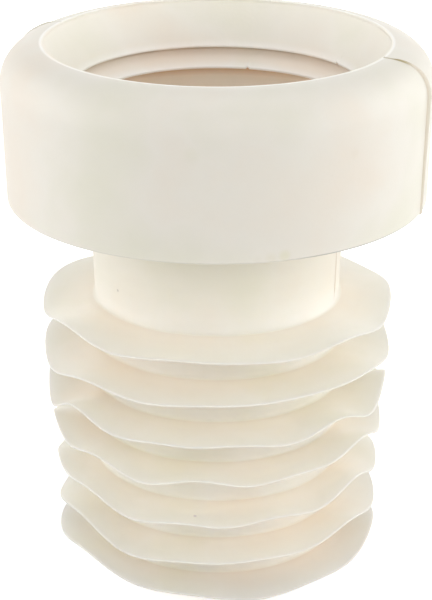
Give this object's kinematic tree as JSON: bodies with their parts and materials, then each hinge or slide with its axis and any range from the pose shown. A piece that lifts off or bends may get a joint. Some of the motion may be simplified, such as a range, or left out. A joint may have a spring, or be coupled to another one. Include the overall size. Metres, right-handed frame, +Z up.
{
  "type": "toilet pan connector",
  "caption": "Straight soft-plastic toilet pan connector: a round-shouldered socket with sealing lips, a plain neck and an outlet pipe ringed with thin wavy sealing fins.",
  "frame": {"origin": "centre of the flat outlet end that the connector stands on", "axes": "+Z up the pipe's axis to the pan mouth, -Y the side seen in the picture, +X to the right of that side"},
  "size_m": [0.14, 0.14, 0.18],
  "materials": {
    "moulding": "soft satin, slightly translucent"
  },
  "bodies": {
    "root": {"pan_connector": "moulding"}
  },
  "joints": []
}
